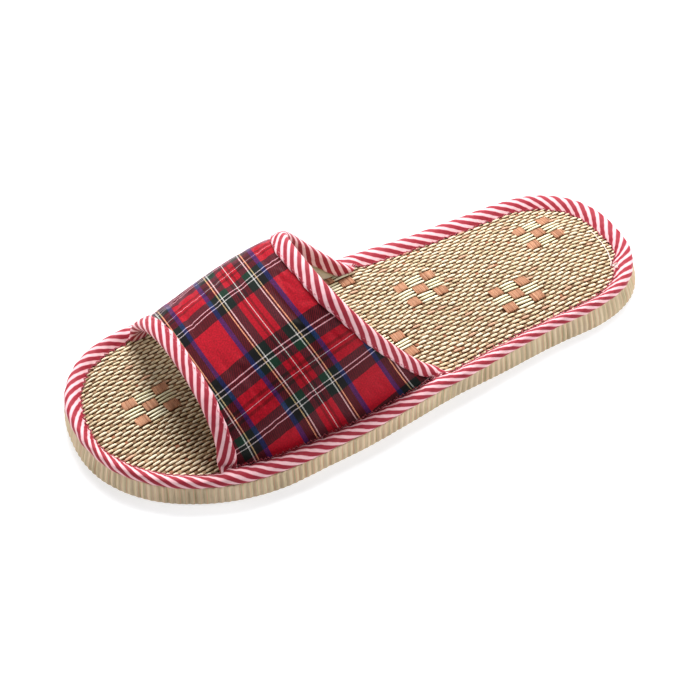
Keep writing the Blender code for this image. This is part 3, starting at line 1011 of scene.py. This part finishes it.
def makeEdgeStitches():
    # a zigzag over the tape's inner edge, one leg on the mat and one on the tape
    s = sewing
    count = round(soleRound / (s["zigzag"] * mm))
    legs = [(turn + part, lean) for turn in range(count) for part, lean in s["legs"]]
    along, lean = np.array(legs).T
    luck = np.random.default_rng(21)
    along = along * soleRound / count + luck.normal(0, s["stray"] * mm, len(along))
    edge = edgeIn(along) + edgeWander(along)
    place = roundSole(along, 0.0, 0.0)
    raised = underBand(place)
    reach = np.where(lean < 0, s["reachIn"], s["reachOut"])
    reach = reach * (1 + luck.normal(0, s["uneven"], len(along)))
    # the loops are long where the tape was turned on the lateral side
    loops = ease(place[:, 0] / mm, *s["turnedX"]) * ease(place[:, 1] / mm, *s["turnedY"])
    reach = reach * (1 - s["bandReach"] * raised) * (1 + s["loops"] * loops)
    along = along + luck.normal(0, s["loopStray"] * mm, len(along)) * loops
    inset = edge - lean * reach
    share = (inset - rimIn(along)) / (edgeIn(along) - rimIn(along))
    onTape = tapeTop(along, np.clip(share, 0, 1)) - s["bandSink"] * mm * raised
    onMat = matLevel(inset * mm, along) + s["overMat"] * mm + raised * s["bandRise"] * mm
    height = np.where(lean < 0, np.minimum(onMat, onTape), onTape + s["overTape"] * mm)
    height = np.where(np.abs(lean) < 0.5, np.maximum(onTape, onMat) + s["overBoth"] * mm, height)
    path = roundSole(along, inset * mm, height)
    middle = (path + np.roll(path, -1, 0)) / 2
    run = np.stack([path, middle], axis=1).reshape(-1, 3)
    piece = threadAlong("edgeStitches", run, s["thread"] / 2 * mm, 5)
    finishPiece(piece, makeThread("crimsonThread", s["colour"]))


def levelBeside(along, inset):
    return levelAt(*roundSole(along, inset * mm, 0.0)[:, :2].T)


def makeFlapThread():
    # where the tape's ends meet at the heel: a long pale stitch beside the edge, ending in a tuft
    f, t = sewing["flap"], sewing["tuft"]
    along = np.linspace(f["start"], f["end"], 60) * mm
    bow = np.sin(np.pi * (along / mm - f["start"]) / (f["end"] - f["start"]))
    inset = f["inset"] + f["bow"] * bow + wave(along, (0.0091, f["waver"], 0.2))
    height = levelBeside(along, inset) + f["height"] * mm
    height = height + wave(along, (0.0037, f["waver"], 0.0)) * mm
    threads = [threadAlong("flapThread", roundSole(along, inset * mm, height), f["thread"] / 2 * mm)]
    turn = np.linspace(0, 1, 9)
    for k in range(t["threads"]):
        way = 1 if k % 2 else -1
        along = (f["start"] + t["step"] * k - t["back"] + t["length"] * turn * way) * mm
        curl = t["curl"] * np.sin(np.pi * turn + k)
        inset = t["inset"] + t["fan"] * k - t["comb"] * turn + curl
        onTape = tapeTop(along, np.clip((inset - t["rim"]) / t["width"], 0, 1))
        height = np.maximum(levelBeside(along, inset) + t["height"] * mm, onTape)
        height = height + t["bow"] * mm * np.sin(np.pi * turn)
        threads.append(threadAlong("tuft%d" % k, roundSole(along, inset * mm, height),
                                   t["thread"] / 2 * mm))
    finishPiece(join("flapThread", threads), makeThread("paleThread", f["colour"]))


makeEdgeStitches()
makeFlapThread()
print("sewing of the mat's tape done")


# band over the foot: padded tartan, a plain lining, tape folded over both edges

# grid of the cloth, which stops short of the band's edges by a margin and has its feet tucked in
band = dict(columns=177, rows=93, margin=0.9, tuck=(3.2, 0.4), tuckSteps=5,
            bow=0.0026, sway=0.0025, swayAt=28)     # of the cloth's lines, as it was cut
# a coarser grid for the simulation, spare cloth as a negative shrink, the most that it may move,
# and where it gets free: past its sewn edges and over its feet, in millimetres
padding = dict(coarse=2, frames=14, air=3.0, spare=-0.010, mass=0.08, most=0.8,
               sewn=(7.1, 11.1), foot=(4.5, 9.5))


# widths in millimetres from the middle of the big red check to the middle of the small one
tartan = dict(
    acrossFoot=(("red", 6.3), ("blue", 1.95), ("black", 3.05), ("amber", 0.44), ("black", 0.84),
                ("white", 0.44), ("green", 3.3), ("red", 2.1), ("maroon", 1.0), ("red", 0.75),
                ("white", 0.22)),
    alongFoot=(("red", 10.4), ("black", 5.46), ("rose", 0.46), ("black", 1.74), ("rose", 0.46),
               ("green", 3.75), ("red", 3.8), ("maroon", 1.3), ("red", 1.20), ("rose", 0.22)),
    acrossStart=18.85,      # millimetres down from the front edge to a big check's middle
    alongStart=8.5,         # and from the crown towards the lateral side
    thread=0.27,
    tones=dict(red=(0.74, 0.038, 0.15), blue=(0.15, 0.20, 0.56), black=(0.05, 0.06, 0.07),
               green=(0.09, 0.23, 0.17), amber=(1.0, 0.84, 0.60), white=(1.0, 1.0, 0.96),
               maroon=(0.42, 0.03, 0.08), rose=(1.0, 0.92, 0.93)),
)


def settRamp(tree, at, chart):
    # the chart's yarns, there and back again
    total = sum(width for _, width in chart)
    cycle = sums(tree, "DIVIDE", sums(tree, "PINGPONG", at, total * mm), total * mm)
    stops, reached = [], 0.0
    for tone, width in chart:
        stops.append((reached / total, (*tartan["tones"][tone], 1.0)))
        reached += width
    return ramp(tree, cycle, stops, "CONSTANT")


def makeTartan():
    material, tree, shader = newMaterial("tartanCloth", 0.65, Specular_IOR_Level=0.16, Sheen_Weight=0.7,
                                         Sheen_Tint=(1.0, 0.5, 0.65, 1.0), Sheen_Roughness=0.3)
    along, across, uv = splitMap(tree)
    warp = settRamp(tree, sums(tree, "SUBTRACT", along, tartan["alongStart"] * mm),
                    tartan["alongFoot"])
    weft = settRamp(tree, sums(tree, "SUBTRACT", across, tartan["acrossStart"] * mm),
                    tartan["acrossFoot"])
    # two over, two under, one thread further along at each step
    fine = tartan["thread"] * mm
    diagonal = sums(tree, "FRACT", sums(tree, "DIVIDE", sums(tree, "ADD", along, across), 4 * fine))
    over = sums(tree, "PINGPONG", diagonal, 0.5)
    share = addNode(tree, "MapRange", {"Value": over, "From Min": 0.17, "From Max": 0.33,
                                       "To Min": 0.34, "To Max": 0.66}).outputs["Result"]
    cloth = mixColours(tree, share, warp, weft)
    # blue yarns float over the red ones
    part = addNode(tree, "SeparateColor", {"Color": weft})
    blue = sums(tree, "GREATER_THAN", sums(tree, "SUBTRACT", part.outputs["Blue"],
                                           part.outputs["Red"]), 0.3)
    cloth = mixColours(tree, sums(tree, "MULTIPLY", blue, 0.22), cloth, weft)
    # dark yarns are the stouter ones, and the bright lines stand out of the weave
    brightest = mixColours(tree, 1.0, warp, weft, "LIGHTEN")
    darker = mixColours(tree, 0.18, cloth, mixColours(tree, 1.0, warp, weft, "DARKEN"))
    lines = mixColours(tree, 0.42, cloth, brightest)
    lineShare = sums(tree, "GREATER_THAN", addNode(tree, "SeparateColor", {
        "Color": brightest}).outputs["Green"], 0.5)
    cloth = mixColours(tree, lineShare, darker, lines)
    # painted shade: the cloth darker by turns along the twill's diagonal lines, for the hollows between
    # its ridges
    cloth = darken(tree, 0.7, cloth, over, (0.0, 0.82), (0.25, 1.0), (0.5, 0.88))
    cloth = darken(tree, 0.5, cloth, noise(tree, uv, 1300.0, 2.0), (0.3, 0.5), (0.68, 1.0))
    cloth = addNode(tree, "Gamma", {"Color": cloth, "Gamma": 2.2}).outputs["Color"]
    surface(tree, shader, cloth, over, 0.5, 0.08)
    return material


lining = ((0.3, (172, 160, 134)), (0.7, (204, 194, 170)))       # soiled and clean, as seen


def makeLining():
    material, tree, shader = newMaterial("greyLining", 0.85, Sheen_Weight=0.2)
    _, _, uv = splitMap(tree)
    tone = dye(tree, noise(tree, uv, 45.0, 3.0), lining)
    surface(tree, shader, tone, noise(tree, uv, 2600.0, 1.0), 0.4, 0.08)
    return material


def bandMap(arc, down):
    # the cloth was cut with its lines slightly bowed
    line = down / mm - band["bow"] * (arc / mm) ** 2
    return arc - band["sway"] * (line - band["swayAt"]) ** 2 * mm, line * mm


def puffUp(face, down, total, stand):
    # cloth simulation of the padded face: its four edges are sewn down, and spare cloth
    # with soft filling behind it swells between them; returns how far each point moves
    p = padding
    every = (slice(None, None, p["coarse"]),) * 2
    start = face[every]
    trial = layGrid("trialCloth", start)
    edge = np.minimum(down, total[None] - down)[every] / mm
    held = 1 - np.minimum(ease(edge, *p["sewn"]), ease(stand[every] / mm, *p["foot"]))
    group = trial.vertex_groups.new(name="sewn")
    for place, weight in enumerate(held.ravel()):
        group.add([place], float(weight), "REPLACE")
    only(trial)
    cloth = trial.modifiers.new("Cloth", "CLOTH")
    s = cloth.settings
    s.quality, s.mass, s.air_damping = 6, p["mass"], 2.0
    s.vertex_group_mass, s.pin_stiffness = "sewn", 1.0
    s.use_pressure, s.uniform_pressure_force = True, p["air"]
    s.shrink_min, s.effector_weights.gravity = p["spare"], 0.0
    cloth.collision_settings.use_collision = False
    for moment in range(1, p["frames"] + 1):
        scene.frame_set(moment)
    bpy.ops.object.modifier_apply(modifier=cloth.name)
    move = readCorners(trial).reshape(start.shape) - start
    bpy.data.objects.remove(trial)
    scene.frame_set(1)
    length = np.linalg.norm(move, axis=2)[..., None]
    print("padding moved by up to %.2f mm" % (length.max() / mm))
    move = move * np.tanh(length / (p["most"] * mm)) * p["most"] * mm / np.maximum(length, 1e-9)
    move = move * (1 - held[..., None])
    # back from the coarser grid
    for axis, size in ((0, face.shape[0]), (1, face.shape[1])):
        at = np.linspace(0, move.shape[axis] - 1, size)
        low = np.minimum(at.astype(int), move.shape[axis] - 2)
        part = (at - low).reshape((-1, 1, 1) if axis == 0 else (1, -1, 1))
        move = np.take(move, low, axis) * (1 - part) + np.take(move, low + 1, axis) * part
    return move


def makeBand():
    b = band
    tuck = np.linspace(*b["tuck"], b["tuckSteps"]) * mm
    column = np.r_[-tuck, np.linspace(0, 1, b["columns"]), 1 + tuck[::-1]]
    inside = np.clip(column, 0, 1)
    total = np.interp(inside, np.linspace(0, 1, bandColumns), bandDown[-1])
    share = np.linspace(0, 1, b["rows"])
    down = b["margin"] * mm + (total[None] - 2 * b["margin"] * mm) * share[:, None]
    outer, arc, reached = bandPoints(column[None], down, 0.0)
    inner, _, _ = bandPoints(column[None], down, -arches["wall"] * mm)
    swelling = puffUp(outer, down, total, outer[..., 2] - bandFoot)
    outer, inner = outer + swelling, inner + swelling
    mapping = bandMap(arc, reached)
    outerPiece = layGrid("tartanBand", outer, *mapping)
    innerPiece = layGrid("bandInside", inner[::-1], *[way[::-1] for way in mapping])
    outerPiece.data.materials.append(makeTartan())
    innerPiece.data.materials.append(makeLining())
    piece = join("tartanBand", [outerPiece, innerPiece])
    editAll(piece, bridgeRims, pointOut)
    smooth(piece, 60)
    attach(piece, "root")
    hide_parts("upper")


makeBand()
print("band done")


# edge is the band's row that a tape is folded over; its stripes drift along near one place
bandTapes = dict(
    front=dict(name="frontTape", node="front_binding", edge=0, width=7.2, inner=7.6,
               pitch=6.65, slope=2.0, start=5.5, drift=0.0, driftAt=0.0, driftSpan=20.0),
    back=dict(name="backTape", node="back_binding", edge=-1, width=7.6, inner=9.4,
              pitch=6.83, slope=-1.9, start=-18.3, drift=4.6, driftAt=18.0, driftSpan=25.0),
)
tapeStep, tapeTuck = 0.75, (2.6, 1.7, 0.8)


def bandTapeSection(width, inner):
    # distance from the fold and height over the cloth's outer face, in millimetres: over the
    # outer leaf, back under it and through the fold, and the same for the inner leaf
    wall = arches["wall"]
    middle = -wall / 2
    return named(
        "down height",
        (0.0, middle), (0.55, 0.40), (1.9, 1.05), (width * 0.5, 1.20), (width * 0.85, 0.95),
        (width, 0.66), (width + 0.1, 0.3), (width - 0.5, 0.12), (width * 0.5, 0.12), (1.7, 0.05),
        (0.85, middle), (1.7, -wall - 0.05), (inner * 0.5, -wall - 0.12), (inner - 0.5, -wall - 0.12),
        (inner + 0.1, -wall - 0.3), (inner, -wall - 0.72), (inner * 0.85, -wall - 0.95),
        (inner * 0.5, -wall - 1.1), (1.9, -wall - 1.0), (0.55, -wall - 0.45))


def makeBandTape(tape):
    t = tape
    section, reached = closedSection(bandTapeSection(t["width"], t["inner"]), 56)
    down, height = section["down"][None], section["height"][None]
    arcs = bandArc[t["edge"]]
    length = arcs[-1] - arcs[0]
    tuck = np.array(tapeTuck) * mm
    column = np.r_[-tuck, np.linspace(0, 1, int(length / (tapeStep * mm))), 1 + tuck[::-1]]
    inside = np.clip(column, 0, 1)
    arc = np.interp(inside, np.linspace(0, 1, bandColumns), arcs)
    arc = arc + np.sign(column - 0.5) * np.abs(column - inside)
    # the tape swells a little between its stitches, and its edge wavers
    share = np.clip(down / t["width"], 0, 1)
    swell = wave(arc, (0.0213, 0.10, 0.2), (0.0087, 0.07, 0.6), (0.0034, 0.05, 0.1))[:, None]
    waver = wave(arc, (0.0291, 0.22, 0.5), (0.0117, 0.14, 0.1), (0.0047, 0.06, 0.3))[:, None]
    rise = height + np.sign(height + 1) * swell * np.sin(np.pi * share * 0.9)
    points, _, _ = bandPoints(column[:, None], (down + waver * share ** 2) * mm, rise * mm,
                              fromBack=t["edge"] < 0)
    # across the tape the path from the fold is positive outside and negative inside
    around = np.where(reached > reached[-1] / 2, reached - reached[-1], reached)
    drift = t["drift"] * np.exp(-((arc / mm - t["driftAt"]) / t["driftSpan"]) ** 2) * mm
    piece = closedGrid(t["name"], points, 60, (arc + drift)[:, None], around[None] * mm)
    finishPiece(piece, makeStripes(t["name"] + "Stripes", t), [t["node"]])
    declareTape(piece)


def makeHemStitches(name, tape):
    # short stitches just inside a band tape's edge, sunk a little into it
    s = sewing
    arcs = bandArc[tape["edge"]]
    length = arcs[-1] - arcs[0]
    count = int(length / (s["hem"] * mm)) - 1
    part = np.linspace(0, 1, 6)
    height = (s["hemHeight"] + s["hemBow"] * np.sin(np.pi * part)) * mm
    stitches = []
    for place in arcs[0] + (np.arange(count) + 0.8) * length / (count + 0.6):
        arc = place + (part - 0.5) * s["hemStitch"] * mm
        column = np.interp(arc, arcs, np.linspace(0, 1, bandColumns))
        path, _, _ = bandPoints(column, (tape["width"] - s["hemInset"]) * mm, height,
                                fromBack=tape["edge"] < 0)
        stitches.append(threadAlong("stitch", path, s["hemThread"] / 2 * mm, 5))
    piece = join(name + "HemStitches", stitches)
    finishPiece(piece, makeThread(name + "HemThread", s["hemColour"]))


for name, tape in bandTapes.items():
    makeBandTape(tape)
    makeHemStitches(name, tape)
print("band tapes done")


# floor, light and camera

studio = dict(
    floor=(0.48, 0.485, 0.50, 1.0), floorSize=8, glow=0.60, white=(1.0, 1.0, 1.0, 1.0), world=0.14,
    lamps=dict(key=dict(place=(-0.66, 0.30, 0.98), size=0.60, watts=28.4),
               side=dict(place=(0.66, 1.05, 0.60), size=0.9, watts=14.0),
               low=dict(place=(-0.40, -1.0, 0.40), size=0.30, watts=5.2)),
)
view = dict(place=(0.39258807, -0.22169279, 0.48429554), azimuth=1.07499, elevation=0.82159,
            roll=0.00986, lens=76.83)


def makeStudio():
    bpy.ops.object.select_all(action="DESELECT")
    bpy.ops.mesh.primitive_plane_add(size=studio["floorSize"])
    floor = namePiece("floor")
    material, _, _ = newMaterial("paleFloor", 0.9, Base_Color=studio["floor"], Specular_IOR_Level=0.1,
                                 Emission_Color=studio["white"], Emission_Strength=studio["glow"])
    floor.data.materials.append(material)
    world = bpy.data.worlds.new("softRoom")
    world.use_nodes = True
    sky = world.node_tree.nodes["Background"]
    sky.inputs["Color"].default_value = studio["white"]
    sky.inputs["Strength"].default_value = studio["world"]
    scene.world = world
    for name, lamp in studio["lamps"].items():
        bpy.ops.object.light_add(type="AREA", location=lamp["place"])
        light = bpy.context.object
        light.name = name + "Light"
        light.data.energy = lamp["watts"]
        light.data.size = lamp["size"]
        light.rotation_euler = (-Vector(lamp["place"])).to_track_quat("-Z", "Y").to_euler()
    scene.view_settings.view_transform = "Standard"


def makeCamera():
    a, e, roll = view["azimuth"], view["elevation"], view["roll"]
    back = Vector((math.sin(a) * math.cos(e), -math.cos(a) * math.cos(e), math.sin(e)))
    right = Vector((math.cos(a), math.sin(a), 0))
    up = back.cross(right)
    tilted = right * math.cos(roll) + up * math.sin(roll)
    raised = up * math.cos(roll) - right * math.sin(roll)
    turn = Matrix((tilted, raised, back)).transposed()
    bpy.ops.object.camera_add(location=view["place"])
    camera = bpy.context.object
    camera.name = "camera"
    camera.rotation_euler = turn.to_euler()
    camera.data.lens = view["lens"]
    camera.data.clip_start = 0.01
    scene.camera = camera


makeStudio()
makeCamera()
print("floor, lights and camera set")
